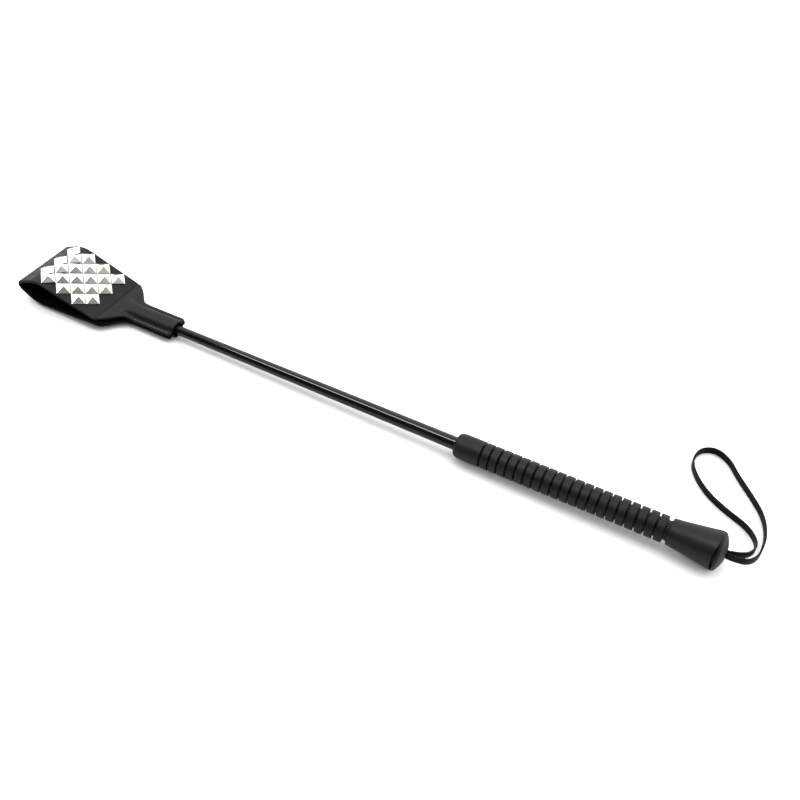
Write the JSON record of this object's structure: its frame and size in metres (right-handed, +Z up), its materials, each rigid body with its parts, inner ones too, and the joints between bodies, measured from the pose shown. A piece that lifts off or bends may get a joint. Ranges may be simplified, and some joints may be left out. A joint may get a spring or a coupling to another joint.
{
  "type": "riding crop",
  "caption": "Short riding crop: tapered shaft, ribbed rubber grip with a flared butt, lace wrist loop, and a folded leather keeper with pyramid studs.",
  "frame": {"origin": "on the surface that the crop lies on, under the middle of its length", "axes": "+X along the crop towards the butt, +Y to the side that the wrist strap lies on, +Z up"},
  "size_m": [0.5383, 0.1089, 0.026],
  "materials": {
    "glass_fibre": "resin-bonded glass-fibre rod, ground to a taper",
    "shaft_lacquer": "black thread cover under clear gloss lacquer",
    "tip_plastic": "moulded black end cap",
    "grip_rubber": "matt black moulded rubber with a fine grain",
    "keeper_leather": "black finished leather, fine grain, soft satin",
    "stitch_thread": "waxed black thread",
    "stud_nickel": "nickel-plated stamped steel, softly polished",
    "lace_leather": "flat black lace with brown cut edges",
    "rivet_steel": "plain steel tubular rivet"
  },
  "bodies": {
    "handle": {"shaft_core": "glass_fibre", "shaft_sheath": "shaft_lacquer", "shaft_tip_cap": "tip_plastic", "grip_sleeve": "grip_rubber", "butt_cap": "grip_rubber", "butt_plug": "grip_rubber", "strap_tail_near": "lace_leather", "strap_tail_far": "lace_leather", "strap_rivet": "rivet_steel", "neck_top_panel": "keeper_leather", "neck_bottom_panel": "keeper_leather", "neck_thread_near": "stitch_thread", "neck_thread_far": "stitch_thread"},
    "keeper": {"keeper_loop": "keeper_leather", "stud_01": "stud_nickel", "stud_02": "stud_nickel", "stud_03": "stud_nickel", "stud_04": "stud_nickel", "stud_05": "stud_nickel", "stud_06": "stud_nickel", "stud_07": "stud_nickel", "stud_08": "stud_nickel", "stud_09": "stud_nickel", "stud_10": "stud_nickel", "stud_11": "stud_nickel", "stud_12": "stud_nickel", "stud_13": "stud_nickel", "stud_14": "stud_nickel", "stud_15": "stud_nickel", "stud_16": "stud_nickel", "stud_17": "stud_nickel", "stud_18": "stud_nickel", "stud_19": "stud_nickel", "stud_20": "stud_nickel", "stud_21": "stud_nickel"},
    "wrist_loop": {"wrist_strap": "lace_leather"}
  },
  "joints": [
    {"name": "keeper_flex", "type": "hinge", "parent": "handle", "child": "keeper", "pos_m": [-0.19269, 0, 0.00624], "axis": [0, 1, 0], "range_deg": [-30, 30], "stiffness_Nm_per_rad": 0.5},
    {"name": "wrist_loop_swing", "type": "hinge", "parent": "handle", "child": "wrist_loop", "pos_m": [0.2608, 0, 0.0123], "axis": [0, 0, 1], "range_deg": [-60, 25]}
  ]
}
